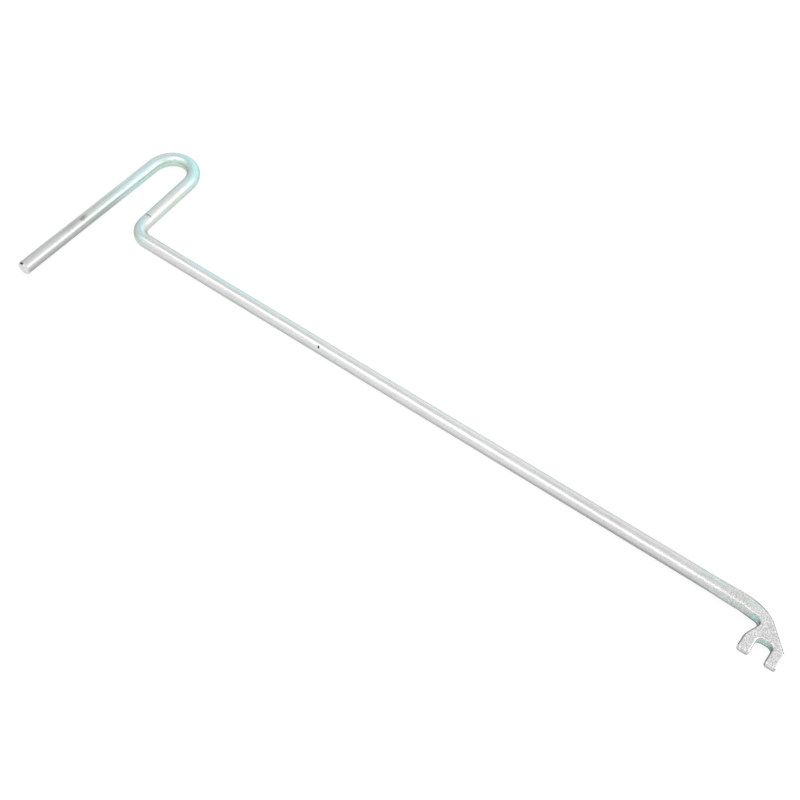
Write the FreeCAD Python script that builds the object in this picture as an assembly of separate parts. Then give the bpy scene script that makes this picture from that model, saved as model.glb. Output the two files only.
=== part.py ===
import FreeCAD, Part

import math
import os

# A steel bar cold-bent into a hook handle at one end and forged into a two-prong fork at the other.
# Millimetres and degrees. The shaft lies along +X, all the bends lie in the XY plane, and the bar
# rests on Z = 0. Each node below is one formed section of the bar, and neighbours meet face to face.

# Round bar
BAR_D = 9.5
BAR_R = BAR_D / 2
END_CHAMFER = 0.6

# Handle, measured from the shaft back to the free end of the grip
SHOULDER_R = 12.5
OFFSET_LEG = 45.5
OFFSET_ANGLE = 92.8
RETURN_R = 16.2
GRIP_LEG = 124.0
GRIP_ANGLE = 89.6

# Shaft, and the neck and heel, where the round bar is pressed towards a square. The corner radii
# are those of its section at even steps along the neck, and on from the neck's end into the heel.
SHAFT = 420.0
NECK_END = 447.0
NECK_CORNERS = (4.73, 4.6, 4.28, 3.7)
PRESSED_END = 459.0
HEEL_CORNERS = (3.7, 2.5, 1.0)
EDGE_R = 1.2

# Fork, looking down on it: the prongs point to -Y, square to the shaft
FORK_OUTER_X = 481.0
OUTER_PRONG = 7.0
SLOT_WIDTH = 8.9
INNER_PRONG = 7.2
TIP_Y = -26.2
ROOT_Y = -14.6
ROOT_R = 2.8
TIP_R = 1.6
HEEL_R = 30.0
HEEL_X = 460.15
CROTCH_X = 463.6
CROTCH_R = 3.4
SHOULDER_Y = -17.6
SHOULDER_BLEND = 8.0

# Fork, looking along the shaft: flat over the heel, then a wedge down to the tips
HEEL_THICK = 9.2
TIP_THICK = 4.4
WEDGE_START_Y = -5.0
WEDGE_BLEND = 60.0

Z_AXIS = FreeCAD.Vector(0, 0, 1)


def at(x, y, z=0.0):
    return FreeCAD.Vector(x, y, z)


def heading(angle):
    """Unit vector in the XY plane, at this angle from +X."""
    return at(math.cos(math.radians(angle)), math.sin(math.radians(angle)))


def straight(start, angle, length):
    """A straight stretch of the round bar."""
    return Part.makeCylinder(BAR_R, length, start, heading(angle))


def bend(centre, start, turn):
    """A bent stretch of the round bar: its section at start, swept round centre by turn."""
    tangent = Z_AXIS.cross(start - centre)
    section = Part.Face(Part.Wire(Part.makeCircle(BAR_R, start, tangent)))
    return section.revolve(centre, Z_AXIS, turn)


def shoulder_points():
    """Bend centre and the end of the offset leg, going back from the shaft's start at 0, 0."""
    centre = at(0, SHOULDER_R)
    turn = 180.0 - OFFSET_ANGLE
    leg_start = centre + heading(-90.0 - turn) * SHOULDER_R
    return centre, turn, leg_start


def return_points():
    """Centre, turn and both ends of the U-bend between the offset leg and the grip leg."""
    bend_start = shoulder_points()[2] + heading(OFFSET_ANGLE) * OFFSET_LEG
    centre = bend_start + heading(OFFSET_ANGLE + 90.0) * RETURN_R
    turn = 180.0 - (OFFSET_ANGLE - GRIP_ANGLE)
    bend_end = centre + heading(OFFSET_ANGLE - 90.0 + turn) * RETURN_R
    return centre, turn, bend_start, bend_end


def grip_end():
    """Centre of the square-cut face at the free end of the grip leg."""
    return return_points()[3] - heading(GRIP_ANGLE) * GRIP_LEG


def grip_leg():
    leg = straight(grip_end(), GRIP_ANGLE, GRIP_LEG)
    rim = min(leg.Edges, key=lambda edge: edge.CenterOfMass.y)
    return leg.makeChamfer(END_CHAMFER, [rim])


def return_bend():
    centre, turn, start, _ = return_points()
    return bend(centre, start, turn)


def offset_leg():
    return straight(shoulder_points()[2], OFFSET_ANGLE, OFFSET_LEG)


def shoulder_bend():
    centre, turn, _ = shoulder_points()
    return bend(centre, at(0, 0), -turn)


def shaft():
    return straight(at(0, 0), 0.0, SHAFT)


def squared_section(x, half_width, half_height, corner):
    """A rounded rectangle square to the shaft, as four sides and four corner arcs."""
    arcs = []
    for quarter, (side_y, side_z) in enumerate(((1, 1), (-1, 1), (-1, -1), (1, -1))):
        middle = at(x, side_y * (half_width - corner), side_z * (half_height - corner))
        angles = [math.radians(90.0 * quarter + 45.0 * step) for step in range(3)]
        arcs.append([middle + at(0, math.cos(a), math.sin(a)) * corner for a in angles])
    edges = []
    for quarter, arc in enumerate(arcs):
        following = arcs[(quarter + 1) % 4]
        edges.append(Part.Arc(*arc).toShape())
        edges.append(Part.LineSegment(arc[2], following[0]).toShape())
    return Part.Wire(edges)


def pressed_bar(start_x, end_x, corners, start_height):
    """A stretch whose section changes from one rounded square to the next, at even steps."""
    last = len(corners) - 1
    sections = []
    for number, corner in enumerate(corners):
        share = number / last
        x = start_x + (end_x - start_x) * share
        half_height = start_height + (HEEL_THICK / 2 - start_height) * share
        sections.append(squared_section(x, BAR_R, half_height, corner))
    return Part.makeLoft(sections, True)


def neck():
    """The round bar easing into the well rounded square that the fork's heel starts from."""
    return pressed_bar(SHAFT, NECK_END, NECK_CORNERS, BAR_R)


def rounded_wire(corners):
    """A closed wire through corners (point, radius), each rounded by a tangent arc."""
    arcs = []
    count = len(corners)
    for number, (point, radius) in enumerate(corners):
        back = (corners[number - 1][0] - point).normalize()
        ahead = (corners[(number + 1) % count][0] - point).normalize()
        half_angle = back.getAngle(ahead) / 2
        reach = radius / math.tan(half_angle)
        inward = (back + ahead).normalize()
        middle = point + inward * (radius / math.sin(half_angle) - radius)
        arcs.append((point + back * reach, middle, point + ahead * reach))
    edges = []
    for number, arc in enumerate(arcs):
        if corners[number][1] > 0:
            edges.append(Part.Arc(*arc).toShape())
        following = arcs[(number + 1) % count]
        edges.append(Part.LineSegment(arc[2], following[0]).toShape())
    return Part.Wire(edges)


def fork_outline():
    """The fork and its heel seen from above, from the neck's end out to the prong tips."""
    slot_outer = FORK_OUTER_X - OUTER_PRONG
    slot_inner = slot_outer - SLOT_WIDTH
    inner_edge = slot_inner - INNER_PRONG
    heel_corner_y = BAR_R - (FORK_OUTER_X - HEEL_X)
    return rounded_wire([
        (at(NECK_END, BAR_R), 0.0),
        (at(HEEL_X, BAR_R), HEEL_R),
        (at(FORK_OUTER_X, heel_corner_y), TIP_R),
        (at(FORK_OUTER_X, TIP_Y), TIP_R),
        (at(slot_outer, TIP_Y), TIP_R),
        (at(slot_outer, ROOT_Y), ROOT_R),
        (at(slot_inner, ROOT_Y), ROOT_R),
        (at(slot_inner, TIP_Y), TIP_R),
        (at(inner_edge, TIP_Y), TIP_R),
        (at(inner_edge, SHOULDER_Y), SHOULDER_BLEND),
        (at(CROTCH_X, -BAR_R), CROTCH_R),
        (at(NECK_END, -BAR_R), 0.0),
    ])


def wedge():
    """The room between the forging dies: level over the heel, tapering towards the tips."""
    level = HEEL_THICK / 2
    slope = (HEEL_THICK - TIP_THICK) / 2 / (WEDGE_START_Y - TIP_Y)
    far_y = TIP_Y - BAR_R
    far = TIP_THICK / 2 - slope * BAR_R
    outline = rounded_wire([
        (at(NECK_END, BAR_D, level), 0.0),
        (at(NECK_END, WEDGE_START_Y, level), WEDGE_BLEND),
        (at(NECK_END, far_y, far), 0.0),
        (at(NECK_END, far_y, -far), 0.0),
        (at(NECK_END, WEDGE_START_Y, -level), WEDGE_BLEND),
        (at(NECK_END, BAR_D, -level), 0.0),
    ])
    return Part.Face(outline).extrude(at(FORK_OUTER_X + BAR_R - NECK_END, 0))


def is_wall(face):
    """True for a face that stands upright, such as the slot's sides."""
    low_u, high_u, low_v, high_v = face.ParameterRange
    normal = face.normalAt((low_u + high_u) / 2, (low_v + high_v) / 2)
    return abs(normal.z) < 0.1


def is_rim(solid, edge):
    """True for an edge between an upright wall and the upper or lower face."""
    walls = [face for face in solid.ancestorsOfType(edge, Part.Face) if is_wall(face)]
    return len(walls) == 1 and edge.BoundBox.XMax > NECK_END + 0.01


def heel_room():
    """Where the fork may be: inside the pressed bar at first, and anywhere past its end."""
    pressed = pressed_bar(NECK_END, PRESSED_END, HEEL_CORNERS, HEEL_THICK / 2)
    room = 2 * (FORK_OUTER_X - NECK_END)
    beyond = Part.makeBox(room, room, BAR_D, at(PRESSED_END, BAR_D - room, -BAR_R))
    below = Part.makeBox(room, room, BAR_D, at(NECK_END, -BAR_R - room, -BAR_R))
    return pressed.fuse([beyond, below])


def forged_fork():
    """The whole fork as one solid, with its upper and lower rims rounded."""
    slab = Part.Face(fork_outline()).extrude(at(0, 0, BAR_D))
    slab.translate(at(0, 0, -BAR_R))
    fork = slab.common(wedge()).Solids[0]
    rims = [edge for edge in fork.Edges if is_rim(fork, edge)]
    return fork.makeFillet(EDGE_R, rims).common(heel_room())


def fork_sections():
    """The fork cut where the slot's sides turn straight: its heel and its two prongs."""
    fork = forged_fork()
    cut_y = ROOT_Y - ROOT_R
    slot_middle = FORK_OUTER_X - OUTER_PRONG - SLOT_WIDTH / 2
    room = 2 * (FORK_OUTER_X - NECK_END)
    heel = Part.makeBox(room, room, room, at(NECK_END - 1, cut_y, -room / 2))
    inner = Part.makeBox(room, room, room, at(slot_middle - room, cut_y - room, -room / 2))
    outer = Part.makeBox(room, room, room, at(slot_middle, cut_y - room, -room / 2))
    return {
        "fork_heel": fork.common(heel),
        "inner_prong": fork.common(inner),
        "outer_prong": fork.common(outer),
    }


def all_sections():
    """Every node, with the shaft starting at 0, 0, 0."""
    sections = {
        "grip_leg": grip_leg(),
        "return_bend": return_bend(),
        "offset_leg": offset_leg(),
        "shoulder_bend": shoulder_bend(),
        "shaft": shaft(),
        "neck": neck(),
    }
    sections.update(fork_sections())
    return sections


def shift_to_base(sections):
    """The move that puts the origin under the middle of the whole tool, on its resting plane."""
    box = Part.Compound(list(sections.values())).optimalBoundingBox(False)
    return at(-(box.XMin + box.XMax) / 2, -(box.YMin + box.YMax) / 2, BAR_R)


def main():
    os.makedirs("parts", exist_ok=True)
    sections = all_sections()
    shift = shift_to_base(sections)
    for name, shape in sections.items():
        solid = shape.Solids[0]
        solid.translate(shift)
        solid.exportStep(f"parts/{name}.step")
        print(name, "valid", solid.isValid(), "volume", round(solid.Volume, 1), "mm3")


main()
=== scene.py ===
import math

import bmesh
import bpy
import numpy as np
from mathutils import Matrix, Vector, noise
from mathutils.geometry import delaunay_2d_cdt


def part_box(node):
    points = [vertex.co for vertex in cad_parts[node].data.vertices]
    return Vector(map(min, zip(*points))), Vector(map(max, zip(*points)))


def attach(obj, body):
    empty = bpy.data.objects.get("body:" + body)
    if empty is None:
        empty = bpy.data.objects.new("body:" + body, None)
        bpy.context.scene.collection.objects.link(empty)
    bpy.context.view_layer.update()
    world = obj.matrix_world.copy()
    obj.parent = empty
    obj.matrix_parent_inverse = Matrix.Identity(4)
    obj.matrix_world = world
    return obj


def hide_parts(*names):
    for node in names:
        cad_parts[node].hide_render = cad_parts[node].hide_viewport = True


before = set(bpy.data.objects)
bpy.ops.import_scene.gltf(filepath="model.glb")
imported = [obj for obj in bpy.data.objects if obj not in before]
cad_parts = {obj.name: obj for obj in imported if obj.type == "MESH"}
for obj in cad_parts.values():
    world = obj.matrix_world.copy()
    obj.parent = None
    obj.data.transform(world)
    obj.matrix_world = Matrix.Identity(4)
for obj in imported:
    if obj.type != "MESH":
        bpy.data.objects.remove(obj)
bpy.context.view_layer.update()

# ---------------------------------------------------------------- sizes, in metres and degrees
# The bar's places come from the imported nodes. The bends and the fork repeat the design's own sizes.
SHAFT_LOW, SHAFT_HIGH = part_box("shaft")
START = Vector((SHAFT_LOW.x, (SHAFT_LOW.y + SHAFT_HIGH.y) / 2, (SHAFT_LOW.z + SHAFT_HIGH.z) / 2))
BAR_R = (SHAFT_HIGH.z - SHAFT_LOW.z) / 2
SHAFT = SHAFT_HIGH.x - SHAFT_LOW.x
END_CHAMFER = 0.0006
SHOULDER_R = 0.0125
OFFSET_LEG = 0.0455
OFFSET_ANGLE = 92.8
RETURN_R = 0.0162
GRIP_LEG = 0.124
GRIP_ANGLE = 89.6

NECK_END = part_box("neck")[1].x - START.x
FORK_OUTER_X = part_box("fork_heel")[1].x - START.x
TIP_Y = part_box("inner_prong")[0].y - START.y
PRONG_TOP_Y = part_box("inner_prong")[1].y - START.y
OUTER_PRONG = 0.0070
SLOT_WIDTH = 0.0089
SLOT_MIDDLE = FORK_OUTER_X - OUTER_PRONG - SLOT_WIDTH / 2
INNER_PRONG = 0.0072
ROOT_R = 0.0028
ROOT_Y = PRONG_TOP_Y + ROOT_R
TIP_R = 0.0016
HEEL_R = 0.030
HEEL_X = 0.46015
CROTCH_X = 0.4636
CROTCH_R = 0.0034
SHOULDER_Y = -0.0176
SHOULDER_BLEND = 0.008
HEEL_THICK = 0.0092
TIP_THICK = 0.0044
WEDGE_START_Y = -0.005
WEDGE_BLEND = 0.0037

# Edge radii of the pressed and forged end. The neck's big corners tighten to the fork's own edge
# radius at different distances: above and below on the near side, and on the far side.
NECK_PRESS_START = 0.428
NECK_EDGE_R = 0.0037
EDGE_R = 0.0012
ROOT_EDGE_R = 0.0007
CREASE_END = 0.458
UNDERSIDE_END = 0.461
FAR_EDGE_END = 0.474

# How finely the meshes are made. A wall level is a share of the way from the fork's middle to a rim.
AROUND = 96
BEND_STEP = 2.5
STRAIGHT_STEP = 0.003
NECK_STEP = 0.0009
OUTLINE_STEP = 0.0005
FACE_STEP = 0.0009
FACE_GAP = 0.6 * FACE_STEP
ROUND_STEPS = 7
LEAST_ARC_STEPS = 5
WALL_LEVELS = [-0.75, -0.5, -0.2, 0.15, 0.5, 0.8]
SHARP_ANGLE = 35

# The forging's slight dents: how deep and wide they are, how much more of them goes in than out, how
# far they stay from the rims, and how far apart in the noise the upper and lower faces are taken
DENT_DEPTH = 0.00005
DENT_SIZE = 0.004
DENT_INWARD = 0.4
DENT_MARGIN = 0.002
DENT_FACE_GAP = 0.1


# ---------------------------------------------------------------- small helpers
def heading(angle):
    """Unit vector in the plane of the bends, at this angle from the shaft."""
    return Vector((math.cos(math.radians(angle)), math.sin(math.radians(angle)), 0.0))


def smooth_step(value):
    value = min(max(value, 0.0), 1.0)
    return value * value * (3 - 2 * value)


def between(value, start, end):
    """0 before start, 1 after end, and a smooth change between them."""
    return smooth_step((value - start) / (end - start))


def within(value, rise, fall):
    """1 inside a stretch and 0 outside it. It rises over one (start, end) and falls over another."""
    return between(value, *rise) * (1 - between(value, *fall))


# ---------------------------------------------------------------- the bar's path
class Path:
    """The bar's middle line from the grip's free end to the neck.

    A stretch is (distance from the free end, start or bend centre, heading, length or radius, turn).
    A station is (distance from the free end, point, direction)."""

    def __init__(self):
        shoulder_turn = 180.0 - OFFSET_ANGLE
        shoulder_centre = START + Vector((0, SHOULDER_R, 0))
        offset_start = shoulder_centre + heading(-90.0 - shoulder_turn) * SHOULDER_R
        bend_start = offset_start + heading(OFFSET_ANGLE) * OFFSET_LEG
        return_centre = bend_start + heading(OFFSET_ANGLE + 90.0) * RETURN_R
        return_turn = 180.0 - (OFFSET_ANGLE - GRIP_ANGLE)
        bend_end = return_centre + heading(OFFSET_ANGLE - 90.0 + return_turn) * RETURN_R
        grip_end = bend_end - heading(GRIP_ANGLE) * GRIP_LEG
        self.grip = (0.0, grip_end, GRIP_ANGLE, GRIP_LEG)
        self.return_bend = (GRIP_LEG, return_centre, GRIP_ANGLE, RETURN_R, -return_turn)
        along = GRIP_LEG + RETURN_R * math.radians(return_turn)
        self.offset = (along, bend_start, OFFSET_ANGLE + 180.0, OFFSET_LEG)
        along += OFFSET_LEG
        self.shoulder = (along, shoulder_centre, OFFSET_ANGLE - 180.0, SHOULDER_R, shoulder_turn)
        self.shaft_along = along + SHOULDER_R * math.radians(shoulder_turn)
        self.shaft = (self.shaft_along, START, 0.0, SHAFT)

    @staticmethod
    def straight(stretch):
        along, start, angle, length = stretch
        direction = heading(angle)
        return [(along + d, start + direction * d, direction) for d in steps(length, STRAIGHT_STEP)]

    @staticmethod
    def bend(stretch):
        """Stations round a bend. A negative turn is clockwise, seen from above."""
        along, centre, angle, radius, turn = stretch
        side = -90.0 if turn > 0 else 90.0
        count = math.ceil(abs(turn) / BEND_STEP)
        stations = []
        for number in range(count + 1):
            swept = turn * number / count
            point = centre + heading(angle + swept + side) * radius
            distance = along + radius * math.radians(abs(swept))
            stations.append((distance, point, heading(angle + swept)))
        return stations


def steps(length, step):
    count = max(1, round(length / step))
    return [length * number / count for number in range(count + 1)]


# ---------------------------------------------------------------- the plating's colour and the painted light and shade, place by place
# Each cloud is (middle along the bar, half length, middle round the bar, half width, blue, green), with
# lengths in metres from the grip's free end and angles in degrees from the bar's left side over its top.
PLATING_CLOUDS = [
    (0.035, 0.045, 110, 220, 0.00, 0.12),
    (0.072, 0.028, 110, 220, 0.05, 0.28),
    (0.110, 0.046, 110, 220, 0.70, 0.14),
    (0.160, 0.030, 40, 110, 0.90, 0.05),
    (0.140, 0.036, 172, 62, 0.25, 0.75),
    (0.198, 0.036, 138, 62, 0.55, 0.30),
    (0.194, 0.036, 10, 60, 0.00, 0.50),
    (0.229, 0.013, 78, 44, 0.62, 0.00),
    (0.228, 0.020, 162, 60, 0.35, 0.28),
    (0.262, 0.036, 54, 48, 0.20, 0.16),
    (0.306, 0.046, 54, 48, 0.75, 0.12),
    (0.360, 0.048, 52, 48, 0.42, 0.34),
    (0.350, 0.090, 170, 35, 0.00, 0.18),
    (0.500, 0.160, 48, 48, 0.10, 0.14),
    (0.668, 0.013, 60, 40, 0.18, 0.38),
    (0.693, 0.008, 85, 40, 0.00, 0.34),
    (0.676, 0.026, 165, 36, 0.05, 0.22),
]

# The same on the fork's upright walls: (x, y, reach, blue, green), from the shaft's start
WALL_CLOUDS = [
    (0.4598, -0.0058, 0.0068, 1.00, 0.20),
    (0.4690, -0.0150, 0.0060, 0.80, 0.70),
]

# Painted shade on those walls, in the crotch and at the slot's root, and at the prongs' corners: (x, y,
# reach, depth)
WALL_PAINTED_SHADE = [
    (0.4632, -0.0074, 0.0052, 0.48),
    (0.4738, -0.0160, 0.0032, 0.40),
    (0.4740, -0.0262, 0.0014, 0.45),
    (0.4810, -0.0262, 0.0012, 0.35),
]

# How much brightness each part of the bar's colour loses or gains: painted shade on its sides, painted
# light on the left of the grip's top, and plain darkening of grip and neck. A side is the bar's flank and
# all below it.
GRIP_DARKENING = 0.13
GRIP_SIDE_PAINTED_SHADE = 0.26
GRIP_LEFT_PAINTED_LIGHT = 0.20
BRIGHT_END = 0.34
SIDE_PAINTED_SHADE = 0.20
SIDE_PAINTED_SHADE_AT_FORK = 0.37
NECK_DARKENING = 0.09

# Where those changes start and end: on the grip, along the bar from its free end or across it
GRIP_DARKENING_FALL = (0.07, 0.11)
END_FACE_FALL = (0.0001, 0.0007)
GRIP_LEFT_RISE = (0.015, 0.045)
GRIP_LEFT_FALL = (0.095, 0.125)
GRIP_LEFT_ACROSS = (0.0002, 0.0014)
GRIP_SIDE_RISE = (0.001, 0.003)
GRIP_SIDE_FALL = (0.070, 0.095)
GRIP_SIDE_ACROSS = (-0.0044, -0.0036)

# The same on the shaft, along it from its start. A side ends at SIDE_TOP, a height over the bar's
# middle, and up to SIDE_DROP lower near the fork.
NECK_DARKENING_RISE = (0.26, 0.38)
NECK_DARKENING_FALL = (0.447, 0.458)
SIDE_RISE = (-0.01, 0.03)
SIDE_DEEPENS = (0.20, 0.40)
SIDE_FALL = (0.450, 0.462)
SIDE_LOWERS = (0.415, 0.450)
SIDE_DROP = 0.0025
SIDE_TOP = (0.0002, 0.0022)

# The same for the fork's rims: painted shade on the lower rims and a painted highlight on rims that face
# right. The highlight is a share of the shade's strength, and RIM_FADE of the shade is lost on the walls.
RIM_PAINTED_SHADE = 0.60
RIM_PAINTED_HIGHLIGHT = 0.80
RIM_FADE = 0.75

# Where those end: as a rim flattens into a face, in degrees from upright, and by level, from -1 at the
# bottom to 1 at the top. RIM_FACING is how squarely a rim faces before it counts in full.
RIM_FLATTENS = (48, 82)
RIM_LEVELS = (0.3, 1.0)
TIP_RIM_LEVELS = (-1.0, -0.3)
RIM_FACING = 0.5

# Where an upright wall of the fork gives way to its rim, as a share of half the thickness
WALL_FALL = (0.66, 0.88)

# Grain is the forged look: how much of it the drawn bar has, and where along the shaft it takes over
BAR_GRAIN = 0.30
GRAIN_START = 0.406
GRAIN_END = 0.456


def cloud_share(value, middle, half):
    """1 near a cloud's middle and 0 beyond its half width, with a soft edge."""
    core = 0.35
    return 1.0 - smooth_step((abs(value - middle) / half - core) / (1 - core))


def plating(place):
    """Blue, green and grain at an unbent place: how strong each is there, from 0 to 1."""
    along, across, up = place
    angle = math.degrees(math.atan2(up, across)) % 360
    blue = green = 0.0
    for middle, half, turn, width, cloud_blue, cloud_green in PLATING_CLOUDS:
        apart = abs((angle - turn + 180) % 360 - 180)
        share = cloud_share(along, middle, half) * cloud_share(apart, 0.0, width)
        blue = max(blue, share * cloud_blue)
        green = max(green, share * cloud_green)
    for x, y, reach, cloud_blue, cloud_green in WALL_CLOUDS:
        share = wall_share(place, x, y, reach)
        blue = max(blue, share * cloud_blue)
        green = max(green, share * cloud_green)
    forged = between(along, path.shaft_along + GRAIN_START, path.shaft_along + GRAIN_END)
    return Vector((blue, green, BAR_GRAIN + (1 - BAR_GRAIN) * forged))


def wall_share(place, x, y, reach):
    """1 on an upright wall of the fork close to this spot, and 0 beyond its reach or on the faces."""
    on_wall = 1 - between(abs(place[2]) / half_thickness(place[1]), *WALL_FALL)
    return on_wall * cloud_share(math.hypot(place[0] - path.shaft_along - x, place[1] - y), 0.0, reach)


def grip_tone(along, across):
    """The grip leg is a little darker, but brighter on its end face, and has painted light on the left of
    its top.
    """
    bright = 1 - GRIP_DARKENING * (1 - between(along, *GRIP_DARKENING_FALL))
    bright *= 1 + BRIGHT_END * (1 - between(along, *END_FACE_FALL))
    on_leg = within(along, GRIP_LEFT_RISE, GRIP_LEFT_FALL)
    return bright * (1 + GRIP_LEFT_PAINTED_LIGHT * on_leg * between(across, *GRIP_LEFT_ACROSS))


def painted_side_shade(along, across, up):
    """How much painted shade a side gets: both of the shaft's, more towards the fork, and the grip's right
    one.
    """
    past_start = along - path.shaft_along
    side = SIDE_PAINTED_SHADE * between(past_start, *SIDE_RISE)
    side += (SIDE_PAINTED_SHADE_AT_FORK - SIDE_PAINTED_SHADE) * between(past_start, *SIDE_DEEPENS)
    side *= 1 - between(past_start, *SIDE_FALL)
    on_right = 1 - between(across, *GRIP_SIDE_ACROSS)
    side += GRIP_SIDE_PAINTED_SHADE * on_right * within(along, GRIP_SIDE_RISE, GRIP_SIDE_FALL)
    drop = SIDE_DROP * between(past_start, *SIDE_LOWERS)
    return side * (1 - between(up + drop, *SIDE_TOP))


def tone(place, rim):
    """How bright the metal's colour is at an unbent place: 1 with nothing painted, less on darker stretches
    and under painted shade, and more under painted light.
    """
    along, across, up = place
    past_start = along - path.shaft_along
    on_neck = within(past_start, NECK_DARKENING_RISE, NECK_DARKENING_FALL)
    bright = grip_tone(along, across) * (1 - NECK_DARKENING * on_neck) * (1 - painted_side_shade(along, across, up))
    # Painted shade in the fork's crotch, slot root and prong corners
    for x, y, reach, depth in WALL_PAINTED_SHADE:
        bright *= 1 - depth * wall_share(place, x, y, reach)
    # Painted shade on low rims and a painted highlight on rims that face right
    return bright * (1 - RIM_PAINTED_SHADE * rim)


# ---------------------------------------------------------------- meshes
def new_builder():
    """A bmesh that keeps each point's place on the bar before it was bent, and how much painted shade or
    painted highlight its rim gets.
    """
    builder = bmesh.new()
    builder.verts.layers.float.new("rim")
    return builder, builder.verts.layers.float_vector.new("unbent")


def finish_piece(builder, node, material):
    """Makes the bmesh the visible piece that stands for a node."""
    name = node + "_surface"
    bmesh.ops.recalc_face_normals(builder, faces=builder.faces)
    mesh = bpy.data.meshes.new(name)
    builder.to_mesh(mesh)
    builder.free()
    mesh.attributes.new("plating", "FLOAT_VECTOR", "POINT")
    mesh.attributes.new("tone", "FLOAT", "POINT")
    for number, spot in enumerate(mesh.attributes["unbent"].data):
        rim = mesh.attributes["rim"].data[number].value
        mesh.attributes["plating"].data[number].vector = plating(spot.vector)
        mesh.attributes["tone"].data[number].value = tone(spot.vector, rim)
    for polygon in mesh.polygons:
        polygon.use_smooth = True
    mesh.set_sharp_from_angle(angle=math.radians(SHARP_ANGLE))
    mesh.materials.append(material)
    piece = bpy.data.objects.new(name, mesh)
    bpy.context.scene.collection.objects.link(piece)
    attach(piece, "root")
    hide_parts(node)


def add_ring(builder, unbent, station, section):
    """One ring of points (across, up) round a station. Its unbent place is what the grain follows."""
    distance, point, direction = station
    side = Vector((-direction.y, direction.x, 0.0))
    ring = []
    for across, up in section:
        vertex = builder.verts.new(point + side * across + Vector((0, 0, up)))
        vertex[unbent] = Vector((distance, across, up))
        ring.append(vertex)
    return ring


def join_rings(builder, first, second):
    count = len(first)
    for number in range(count):
        following = (number + 1) % count
        builder.faces.new((first[number], first[following], second[following], second[number]))


def cap(builder, unbent, ring, station):
    """Closes a ring with a fan to its middle."""
    distance, point, _ = station
    middle = builder.verts.new(point)
    middle[unbent] = Vector((distance, 0.0, 0.0))
    for number in range(len(ring)):
        builder.faces.new((ring[number], ring[(number + 1) % len(ring)], middle))


def closed_tube(rings):
    """Rings given as (station, section) made into one closed mesh."""
    builder, unbent = new_builder()
    made = [add_ring(builder, unbent, station, section) for station, section in rings]
    for first, second in zip(made, made[1:]):
        join_rings(builder, first, second)
    cap(builder, unbent, made[0], rings[0][0])
    cap(builder, unbent, made[-1], rings[-1][0])
    return builder


def circle(radius):
    turns = [2 * math.pi * number / AROUND for number in range(AROUND)]
    return [(radius * math.cos(turn), radius * math.sin(turn)) for turn in turns]


def bar_piece(stations):
    return closed_tube([(station, circle(BAR_R)) for station in stations])


def grip_piece(stations):
    """The grip leg, with its saw-cut free end: a flat face and a broken edge."""
    distance, point, direction = stations[0]
    inner = BAR_R - END_CHAMFER
    blend = END_CHAMFER / 4
    profile = [(0.0, inner * 0.35), (0.0, inner * 0.7), (0.0, inner - blend)]
    profile += [(blend * 0.3, inner - blend * 0.1), (END_CHAMFER - blend * 0.6, BAR_R - blend * 0.7)]
    profile += [(END_CHAMFER + blend, BAR_R)]
    rings = []
    for depth, radius in profile:
        rings.append(((distance + depth, point + direction * depth, direction), circle(radius)))
    rings += [(station, circle(BAR_R)) for station in stations[1:]]
    return closed_tube(rings)


# ---------------------------------------------------------------- the neck
def squared_reach(turn, half_height, corner):
    """How far the rounded square of the neck's section reaches from its middle at this turn."""
    c, s = abs(math.cos(turn)), abs(math.sin(turn))
    if c > 1e-9 and BAR_R / c * s <= half_height - corner:
        return BAR_R / c
    if s > 1e-9 and half_height / s * c <= BAR_R - corner:
        return half_height / s
    to_y, to_z = BAR_R - corner, half_height - corner
    nearest = to_y * c + to_z * s
    return nearest + math.sqrt(max(nearest * nearest - to_y ** 2 - to_z ** 2 + corner ** 2, 0.0))


def neck_section(x):
    corner = BAR_R + (NECK_EDGE_R - BAR_R) * between(x, NECK_PRESS_START, NECK_END)
    half_height = BAR_R + (HEEL_THICK / 2 - BAR_R) * between(x, NECK_PRESS_START, NECK_END)
    section = []
    for number in range(AROUND):
        turn = 2 * math.pi * number / AROUND
        reach = squared_reach(turn, half_height, min(corner, half_height))
        section.append((reach * math.cos(turn), reach * math.sin(turn)))
    return section


def neck_piece():
    """The round bar easing into the well rounded square that the fork's heel starts from."""
    rings = []
    for distance in steps(NECK_END - SHAFT, NECK_STEP):
        x = SHAFT + distance
        station = (path.shaft_along + x, START + Vector((x, 0, 0)), Vector((1, 0, 0)))
        rings.append((station, neck_section(x)))
    return closed_tube(rings)


# ---------------------------------------------------------------- the fork
def rounded_outline(corners, step):
    """Points and outward normals along a closed outline. Each corner (x, y, radius) is a tangent arc."""
    points = [Vector((x, y)) for x, y, _ in corners]
    count = len(points)
    arcs = []
    for number, point in enumerate(points):
        radius = corners[number][2]
        back = (points[number - 1] - point).normalized()
        ahead = (points[(number + 1) % count] - point).normalized()
        half = back.angle(ahead) / 2
        reach = radius / math.tan(half)
        centre = point + (back + ahead).normalized() * (radius / math.sin(half))
        arcs.append((point + back * reach, point + ahead * reach, centre, radius, back, ahead))
    line = []
    for number, (arc_in, arc_out, centre, radius, back, ahead) in enumerate(arcs):
        normal_in = Vector((-back.y, back.x))
        normal_out = Vector((ahead.y, -ahead.x))
        swept = normal_in.angle(normal_out)
        side = 1.0 if (arc_in - centre).dot(normal_in) > 0 else -1.0
        pieces = max(LEAST_ARC_STEPS, math.ceil(radius * swept / step))
        for part in range(pieces + 1):
            first, last = math.sin((1 - part / pieces) * swept), math.sin(part / pieces * swept)
            normal = (normal_in * first + normal_out * last) / math.sin(swept)
            line.append((centre + normal * radius * side, normal))
        run = arcs[(number + 1) % count][0] - arc_out
        pieces = max(1, round(run.length / step))
        for part in range(1, pieces):
            line.append((arc_out + run * (part / pieces), normal_out))
    return line


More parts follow.
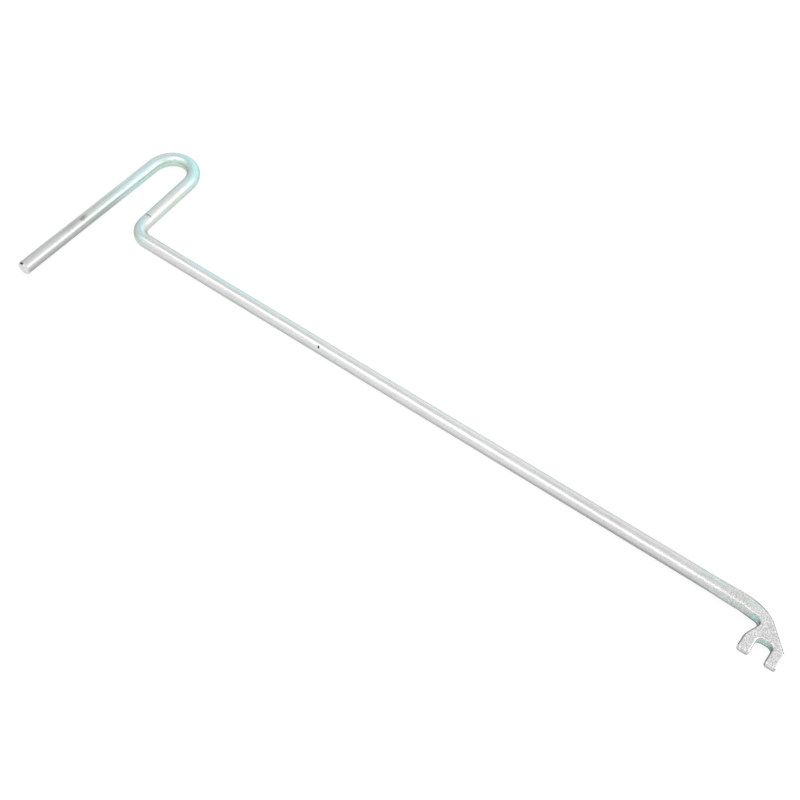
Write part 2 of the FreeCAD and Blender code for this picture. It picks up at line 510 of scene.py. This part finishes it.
def fork_outline():
    """The fork seen from above, with a tail that reaches back inside the neck."""
    slot_outer = FORK_OUTER_X - OUTER_PRONG
    slot_inner = slot_outer - SLOT_WIDTH
    inner_edge = slot_inner - INNER_PRONG
    tail = NECK_END - 2 * NECK_EDGE_R
    tail_corner = BAR_R * 0.9
    return rounded_outline([
        (tail, BAR_R, tail_corner),
        (tail, -BAR_R, tail_corner),
        (CROTCH_X, -BAR_R, CROTCH_R),
        (inner_edge, SHOULDER_Y, SHOULDER_BLEND),
        (inner_edge, TIP_Y, TIP_R),
        (slot_inner, TIP_Y, TIP_R),
        (slot_inner, ROOT_Y, ROOT_R),
        (slot_outer, ROOT_Y, ROOT_R),
        (slot_outer, TIP_Y, TIP_R),
        (FORK_OUTER_X, TIP_Y, TIP_R),
        (FORK_OUTER_X, BAR_R - (FORK_OUTER_X - HEEL_X), TIP_R),
        (HEEL_X, BAR_R, HEEL_R),
    ], OUTLINE_STEP)


def edge_radius(spot, sign):
    """How rounded the fork's rim is: big at the neck, less on the fork, and least at the slot's root."""
    near_end = CREASE_END if sign > 0 else UNDERSIDE_END
    near = between(spot.x, NECK_END, near_end)
    far = between(spot.x, NECK_END, FAR_EDGE_END)
    far_side = between(spot.y, -BAR_R, BAR_R)
    radius = NECK_EDGE_R + (EDGE_R - NECK_EDGE_R) * (near * (1 - far_side) + far * far_side)
    in_slot = 1 - between(abs(spot.x - SLOT_MIDDLE), SLOT_WIDTH * 0.4, SLOT_WIDTH * 0.6)
    at_root = in_slot * between(spot.y, ROOT_Y - ROOT_R, ROOT_Y)
    return radius + (ROOT_EDGE_R - radius) * at_root * (1 - between(spot.y, ROOT_Y, ROOT_Y + ROOT_R))


def half_thickness(y):
    """Half the fork's thickness: level over the heel, then a wedge down to the tips."""
    slope = (HEEL_THICK - TIP_THICK) / 2 / (WEDGE_START_Y - TIP_Y)
    past = WEDGE_START_Y - y
    if past <= -WEDGE_BLEND:
        drop = 0.0
    elif past < WEDGE_BLEND:
        drop = (past + WEDGE_BLEND) ** 2 / (4 * WEDGE_BLEND)
    else:
        drop = past
    return HEEL_THICK / 2 - slope * drop


def face_spots(inner):
    """A rim's inner line, and a fine triangular grid of spots inside its box and clear of the line."""
    line = np.array([(spot.x, spot.y) for spot in inner])
    low, high = line.min(axis=0), line.max(axis=0)
    rise = FACE_STEP * math.sqrt(3) / 2
    spots = list(inner)
    for row in range(int((high[1] - low[1]) / rise) + 1):
        for column in range(int((high[0] - low[0]) / FACE_STEP) + 2):
            spot = low + np.array([(column + row % 2 / 2) * FACE_STEP, row * rise])
            if np.hypot(*(line - spot).T).min() > FACE_GAP:
                spots.append(Vector(spot))
    return spots


def close_face(put, faces, ring, inner, sign):
    """Fills the rim's inner line with a fine mesh that has the slight dents of forging."""
    count = len(inner)
    spots = face_spots(inner)
    border = [(number, (number + 1) % count) for number in range(count)]
    inside_only, tolerance = 1, 1e-8
    flat, _, triangles, origins, _, _ = delaunay_2d_cdt(
        spots, border, [list(range(count))], inside_only, tolerance)
    made = []
    for spot, origin in zip(flat, origins):
        if origin and origin[0] < count:
            made.append(ring[origin[0]])
            continue
        gap = min((spot - other).length for other in inner)
        place = Vector((spot.x, spot.y, sign * DENT_FACE_GAP / 2))
        dent = noise.noise(place / DENT_SIZE) - DENT_INWARD
        depth = DENT_DEPTH * dent * smooth_step(gap / DENT_MARGIN)
        made.append(put(spot.x, spot.y, sign * (half_thickness(spot.y) + depth)))
    for triangle in triangles:
        faces.new([made[number] for number in triangle])


def rim_share(point, normal, angle, level):
    """How much painted shade a rim gets, from 0 to 1, or below 0 where it gets a painted highlight. Level
    is -1 low and 1 high.
    """
    steep = 1 - between(math.degrees(angle), *RIM_FLATTENS)
    painted_highlight = smooth_step((normal.x - abs(normal.y)) / RIM_FACING)
    faces_tips = smooth_step(-normal.y / RIM_FACING)
    painted_shade = 1 - faces_tips * between(level, *TIP_RIM_LEVELS)
    painted_shade *= 1 - RIM_FADE * (1 - between(abs(level), *RIM_LEVELS))
    on_fork = between(point.x, NECK_END, CREASE_END)
    return steep * on_fork * (painted_shade * (1 - painted_highlight) - RIM_PAINTED_HIGHLIGHT * painted_highlight)


def fork_blank():
    """The whole fork as one closed mesh, its rims rounded and its faces finely divided."""
    builder, unbent = new_builder()
    rim = builder.verts.layers.float["rim"]
    outline = fork_outline()
    move = Vector((path.shaft_along, 0, 0))

    def put(x, y, z):
        place = Vector((x, y, z))
        vertex = builder.verts.new(START + place)
        vertex[unbent] = place + move
        return vertex

    def rim_ring(angle, sign):
        ring = []
        for point, normal in outline:
            radius = edge_radius(point, sign)
            spot = point - normal * (radius * (1 - math.cos(angle)))
            rise = half_thickness(spot.y) - radius * (1 - math.sin(angle))
            ring.append(put(spot.x, spot.y, sign * rise))
            ring[-1][rim] = rim_share(point, normal, angle, sign)
        return ring

    def wall_ring(level):
        ring = []
        for point, normal in outline:
            rise = half_thickness(point.y) - edge_radius(point, level)
            ring.append(put(point.x, point.y, level * rise))
            ring[-1][rim] = rim_share(point, normal, 0.0, level)
        return ring

    angles = [math.pi / 2 * number / ROUND_STEPS for number in range(ROUND_STEPS + 1)]
    rings = [rim_ring(angle, -1) for angle in reversed(angles)]
    rings += [wall_ring(level) for level in WALL_LEVELS]
    rings += [rim_ring(angle, 1) for angle in angles]
    for first, second in zip(rings, rings[1:]):
        join_rings(builder, first, second)
    for ring, sign in ((rings[-1], 1), (rings[0], -1)):
        inner = [point - normal * edge_radius(point, sign) for point, normal in outline]
        close_face(put, builder.faces, ring, inner, sign)
    return builder


def keep_side(builder, point, normal):
    """Cuts the mesh by a plane, keeps the side that the normal points to, and closes the cut."""
    geometry = list(builder.verts) + list(builder.edges) + list(builder.faces)
    result = bmesh.ops.bisect_plane(
        builder, geom=geometry, plane_co=point, plane_no=normal, clear_inner=True, dist=1e-7)
    edges = [item for item in result["geom_cut"] if isinstance(item, bmesh.types.BMEdge)]
    filled = bmesh.ops.holes_fill(builder, edges=edges, sides=0)
    bmesh.ops.triangulate(builder, faces=filled["faces"])


def fork_pieces():
    """The fork cut at the neck's end and across the roots of its prongs."""
    blank = fork_blank()
    neck_plane = (START + Vector((NECK_END, 0, 0)), Vector((1, 0, 0)))
    root = START + Vector((SLOT_MIDDLE, PRONG_TOP_Y, 0))
    pieces = {
        "fork_heel": [neck_plane, (root, Vector((0, 1, 0)))],
        "inner_prong": [(root, Vector((0, -1, 0))), (root, Vector((-1, 0, 0)))],
        "outer_prong": [(root, Vector((0, -1, 0))), (root, Vector((1, 0, 0)))],
    }
    made = {}
    for name, planes in pieces.items():
        builder = blank.copy()
        for point, normal in planes:
            keep_side(builder, point, normal)
        made[name] = builder
    blank.free()
    return made


# ---------------------------------------------------------------- materials
NEUTRAL = (0.65, 0.65, 0.645, 1)
BLUE_FILM = (0.48, 0.73, 0.745, 1)
GREEN_FILM = (0.53, 0.70, 0.575, 1)
EDGE_TINT = (0.75, 0.75, 0.77, 1)
FLOOR_COLOUR = (0.24, 0.24, 0.24, 1)
FLOOR_GLOW = 0.79
FLOOR_ROUGHNESS = 0.9
FLOOR_SPECULAR = 0.1
ROUGHNESS = 0.26
GRAIN_ROUGHNESS = 0.15

# Noise scales, per metre: drawn streaks, film patches, and the forging's specks and pits. The patches
# are longer along the bar, and the pits are a share of the grain.
STREAK_SCALE = (90, 2600, 2600)
PATCH_SCALE = 110.0
PATCH_STRETCH = (0.5, 1, 1)
SPECK_SCALE = 1550.0
PIT_SCALE = 750.0
PIT_SHARE = 0.3

# What the noises' usual values are, and the brightness, film strength or roughness they turn into
NOISE_SPAN = (0.3, 0.7)
PATCH_SPAN = (0.35, 0.65)
PATCH_LEVELS = (0.65, 1.15)
DRAWN_LEVELS = (0.86, 1.10)
GRAINY_SPAN = (0.52, 0.78)
GRAINY_LEVELS = (0.66, 1.12)
ROUGHNESS_LEVELS = (ROUGHNESS - 0.04, ROUGHNESS + 0.06)

# Bump: its strength, the height of the grain in metres, and the streaks' height as a share of that
BUMP_STRENGTH = 0.35
BUMP_DEPTH = 0.00012
STREAK_BUMP = 0.25

# Small dark marks: (along, across, up) of the middle, how far it reaches each way, and how dark it is
MARKS = [
    ((0.0006, 0.0006, 0.0043), (0.0012, 0.0021, 0.0012), 0.92),
    ((0.0545, -0.0015, 0.0044), (0.0040, 0.0017, 0.0026), 0.38),
    ((0.0460, -0.0004, 0.0044), (0.0120, 0.0026, 0.0030), 0.16),
    ((0.2155, 0.0005, 0.0047), (0.0006, 0.0032, 0.0030), 0.60),
    ((0.3912, -0.0031, 0.0036), (0.0010, 0.0009, 0.0016), 0.92),
]

# A mark's ragged outline: the noise's scale, how far it moves the outline, and where full dark ends
MARK_GRAIN = 900.0
MARK_RAGGED = 0.45
MARK_CORE = 0.45


class Tree:
    """Short calls for building one material's nodes."""

    def __init__(self, material):
        self.nodes = material.node_tree.nodes
        self.links = material.node_tree.links

    def node(self, kind, inputs=None, **settings):
        made = self.nodes.new(kind)
        for name, value in settings.items():
            setattr(made, name, value)
        for name, value in (inputs or {}).items():
            if isinstance(value, bpy.types.NodeSocket):
                self.links.new(value, made.inputs[name])
            else:
                made.inputs[name].default_value = value
        return made

    def noise(self, place, scale, detail, stretch=(1, 1, 1)):
        moved = self.node("ShaderNodeVectorMath", {0: place, 1: stretch}, operation="MULTIPLY")
        inputs = {"Vector": moved.outputs[0], "Scale": scale, "Detail": detail}
        return self.node("ShaderNodeTexNoise", inputs).outputs["Fac"]

    def map(self, value, low, high, to_low, to_high):
        inputs = {"Value": value, "From Min": low, "From Max": high, "To Min": to_low, "To Max": to_high}
        return self.node("ShaderNodeMapRange", inputs).outputs["Result"]

    def math(self, operation, first, second):
        return self.node("ShaderNodeMath", {0: first, 1: second}, operation=operation).outputs[0]

    def mix(self, share, first, second):
        """Mixes two colours, which are the node's inputs 6 and 7 and its output 2."""
        made = self.node("ShaderNodeMix", data_type="RGBA")
        for number, value in ((0, share), (6, first), (7, second)):
            if isinstance(value, bpy.types.NodeSocket):
                self.links.new(value, made.inputs[number])
            else:
                made.inputs[number].default_value = value
        return made.outputs[2]

    def scale_colour(self, colour, value):
        made = self.node("ShaderNodeVectorMath", operation="SCALE")
        self.links.new(colour, made.inputs[0])
        self.links.new(value, made.inputs["Scale"])
        return made.outputs[0]


def mark_shade(tree, place):
    """1 on clean metal, and darker inside each small mark, whose outline is ragged."""
    grain = tree.noise(place, MARK_GRAIN, detail=3.0)
    ragged = tree.map(grain, *NOISE_SPAN, -MARK_RAGGED, MARK_RAGGED)
    shade = None
    for middle, reach, strength in MARKS:
        apart = tree.node("ShaderNodeVectorMath", {0: place, 1: middle}, operation="SUBTRACT")
        size = tuple(1 / r for r in reach)
        scaled = tree.node("ShaderNodeVectorMath", {0: apart.outputs[0], 1: size}, operation="MULTIPLY")
        length = tree.node("ShaderNodeVectorMath", {0: scaled.outputs[0]}, operation="LENGTH")
        reached = tree.math("ADD", length.outputs["Value"], ragged)
        dark = tree.map(reached, MARK_CORE, 1.0, 1 - strength, 1.0)
        shade = dark if shade is None else tree.math("MULTIPLY", shade, dark)
    return shade


def zinc_material(name):
    """Bright zinc with a thin blue and green film, drawn streaks on the bar and grain on the forging."""
    material = bpy.data.materials.new(name)
    material.use_nodes = True
    tree = Tree(material)
    shader = tree.nodes["Principled BSDF"]
    place = tree.node("ShaderNodeAttribute", attribute_name="unbent").outputs["Vector"]
    film = tree.node("ShaderNodeAttribute", attribute_name="plating").outputs["Vector"]
    split = tree.node("ShaderNodeSeparateXYZ", {0: film})
    blue, green, grain = split.outputs[0], split.outputs[1], split.outputs[2]

    streak = tree.noise(place, 1.0, detail=3.0, stretch=STREAK_SCALE)
    patch = tree.noise(place, PATCH_SCALE, detail=2.0, stretch=PATCH_STRETCH)
    speck = tree.noise(place, SPECK_SCALE, detail=2.0)
    pit = tree.noise(place, PIT_SCALE, detail=3.0)

    patchy = tree.map(patch, *PATCH_SPAN, *PATCH_LEVELS)
    colour = tree.mix(tree.math("MULTIPLY", blue, patchy), NEUTRAL, BLUE_FILM)
    colour = tree.mix(tree.math("MULTIPLY", green, patchy), colour, GREEN_FILM)
    drawn = tree.map(streak, *NOISE_SPAN, *DRAWN_LEVELS)
    grainy = tree.math("ADD", speck, tree.math("MULTIPLY", pit, PIT_SHARE))
    grainy = tree.map(grainy, *GRAINY_SPAN, *GRAINY_LEVELS)
    surface = tree.math("ADD", tree.math("MULTIPLY", drawn, tree.math("SUBTRACT", 1.0, grain)),
                        tree.math("MULTIPLY", grainy, grain))
    # The tone attribute holds painted shade and painted light, which darken or lighten the base colour.
    bright = tree.node("ShaderNodeAttribute", attribute_name="tone").outputs["Fac"]
    shade = tree.math("MULTIPLY", tree.math("MULTIPLY", surface, bright), mark_shade(tree, place))
    tree.links.new(tree.scale_colour(colour, shade), shader.inputs["Base Color"])

    shader.inputs["Metallic"].default_value = 1.0
    shader.inputs["Specular Tint"].default_value = EDGE_TINT
    rough = tree.math("ADD", tree.map(streak, *NOISE_SPAN, *ROUGHNESS_LEVELS),
                      tree.math("MULTIPLY", grain, GRAIN_ROUGHNESS))
    tree.links.new(rough, shader.inputs["Roughness"])

    lines = tree.math("MULTIPLY", streak, tree.math("SUBTRACT", 1.0, grain))
    rise = tree.math("ADD", tree.math("MULTIPLY", lines, STREAK_BUMP), tree.math("MULTIPLY", speck, grain))
    bump = tree.node("ShaderNodeBump", {"Strength": BUMP_STRENGTH, "Distance": BUMP_DEPTH, "Height": rise})
    tree.links.new(bump.outputs["Normal"], shader.inputs["Normal"])
    return material


def floor_material():
    """A light table: a matt pale sheet that glows evenly."""
    material = bpy.data.materials.new("studio_floor")
    material.use_nodes = True
    shader = material.node_tree.nodes["Principled BSDF"]
    shader.inputs["Base Color"].default_value = FLOOR_COLOUR
    shader.inputs["Roughness"].default_value = FLOOR_ROUGHNESS
    shader.inputs["Specular IOR Level"].default_value = FLOOR_SPECULAR
    shader.inputs["Emission Color"].default_value = (1, 1, 1, 1)
    shader.inputs["Emission Strength"].default_value = FLOOR_GLOW
    return material


# ---------------------------------------------------------------- studio
# The camera's place is measured from the shaft's start. Azimuths count from the shaft's direction.
CAMERA_PLACE = (0.4798, -0.3536, 0.6030)
CAMERA_AZIMUTH = 126.88
CAMERA_ELEVATION = -54.0
CAMERA_LENS = 54.8
CAMERA_SENSOR = 36.0
FLOOR_HALF = 3.0

# Soft boxes: (name, azimuth, elevation, distance, (width, height), brightness of its face)
SOFT_BOXES = [
    ("soft_box_side", -118, 58, 1.15, (1.30, 0.26), 1.80),
    ("soft_box_right", 32, 34, 1.40, (1.10, 0.42), 1.68),
]

# The studio's walls: their brightness all round, and broad places that are brighter or darker, as
# (azimuth, elevation, spread in degrees, brightness added)
WALL_LEVEL = 1.14
WALL_GLOWS = [
    (-130, 55, 50, 0.30),
    (25, 35, 60, 0.35),
    (108, 30, 50, 0.26),
    (140, 66, 46, -0.24),
    (178, 14, 75, -0.30),
]


def direction_to(azimuth, elevation):
    """Unit vector towards this azimuth and elevation."""
    tilt = math.radians(elevation)
    return heading(azimuth) * math.cos(tilt) + Vector((0, 0, math.sin(tilt)))


def make_floor():
    """A large level pale table under the tool."""
    mesh = bpy.data.meshes.new("floor")
    corners = [(x * FLOOR_HALF, y * FLOOR_HALF, 0.0) for x, y in ((-1, -1), (1, -1), (1, 1), (-1, 1))]
    mesh.from_pydata(corners, [], [(0, 1, 2, 3)])
    floor = bpy.data.objects.new("floor", mesh)
    bpy.context.scene.collection.objects.link(floor)
    mesh.materials.append(floor_material())


def aim(thing, look):
    """Turns a camera or a light to look this way, and puts it in the scene."""
    thing.rotation_mode = "QUATERNION"
    thing.rotation_quaternion = look.to_track_quat("-Z", "Y")
    bpy.context.scene.collection.objects.link(thing)


def make_camera():
    """The camera stands beyond the fork's open side and looks down at the tool."""
    data = bpy.data.cameras.new("camera")
    data.sensor_width = CAMERA_SENSOR
    data.lens = CAMERA_LENS
    camera = bpy.data.objects.new("camera", data)
    camera.location = START + Vector(CAMERA_PLACE)
    aim(camera, direction_to(CAMERA_AZIMUTH, CAMERA_ELEVATION))
    bpy.context.scene.camera = camera


def soft_box(name, azimuth, elevation, distance, size, brightness):
    """A rectangular soft box aimed at the tool. Brightness is that of its own face."""
    data = bpy.data.lights.new(name, "AREA")
    data.shape = "RECTANGLE"
    data.size, data.size_y = size
    data.energy = brightness * math.pi * size[0] * size[1]
    light = bpy.data.objects.new(name, data)
    towards = direction_to(azimuth, elevation)
    light.location = towards * distance
    aim(light, -towards)


def make_world():
    """Pale walls all round, a little brighter and darker in places."""
    world = bpy.data.worlds.new("studio")
    bpy.context.scene.world = world
    world.use_nodes = True
    tree = Tree(world)
    looking = tree.node("ShaderNodeTexCoord").outputs["Generated"]
    total = WALL_LEVEL
    for azimuth, elevation, spread, brightness in WALL_GLOWS:
        towards = direction_to(azimuth, elevation)
        facing = tree.node("ShaderNodeVectorMath", {0: looking, 1: tuple(towards)}, operation="DOT_PRODUCT")
        sharpness = math.log(2) / (1 - math.cos(math.radians(spread / 2)))
        fall = tree.math("MULTIPLY", tree.math("SUBTRACT", facing.outputs["Value"], 1.0), sharpness)
        glow = tree.math("MULTIPLY", tree.math("EXPONENT", fall, 0.0), brightness)
        total = tree.math("ADD", glow, total)
    background = tree.nodes["Background"]
    tree.links.new(total, background.inputs["Color"])
    background.inputs["Strength"].default_value = 1.0


# ---------------------------------------------------------------- everything together
path = Path()
zinc_bar = zinc_material("zinc_bar")
zinc_forged = zinc_material("zinc_forged")
bars = {
    "grip_leg": grip_piece(Path.straight(path.grip)),
    "return_bend": bar_piece(Path.bend(path.return_bend)),
    "offset_leg": bar_piece(Path.straight(path.offset)),
    "shoulder_bend": bar_piece(Path.bend(path.shoulder)),
    "shaft": bar_piece(Path.straight(path.shaft)),
}
for node, builder in bars.items():
    finish_piece(builder, node, zinc_bar)
finish_piece(neck_piece(), "neck", zinc_forged)
for node, builder in fork_pieces().items():
    finish_piece(builder, node, zinc_forged)

make_floor()
make_camera()
make_world()
for values in SOFT_BOXES:
    soft_box(*values)
bpy.context.scene.view_settings.view_transform = "Standard"
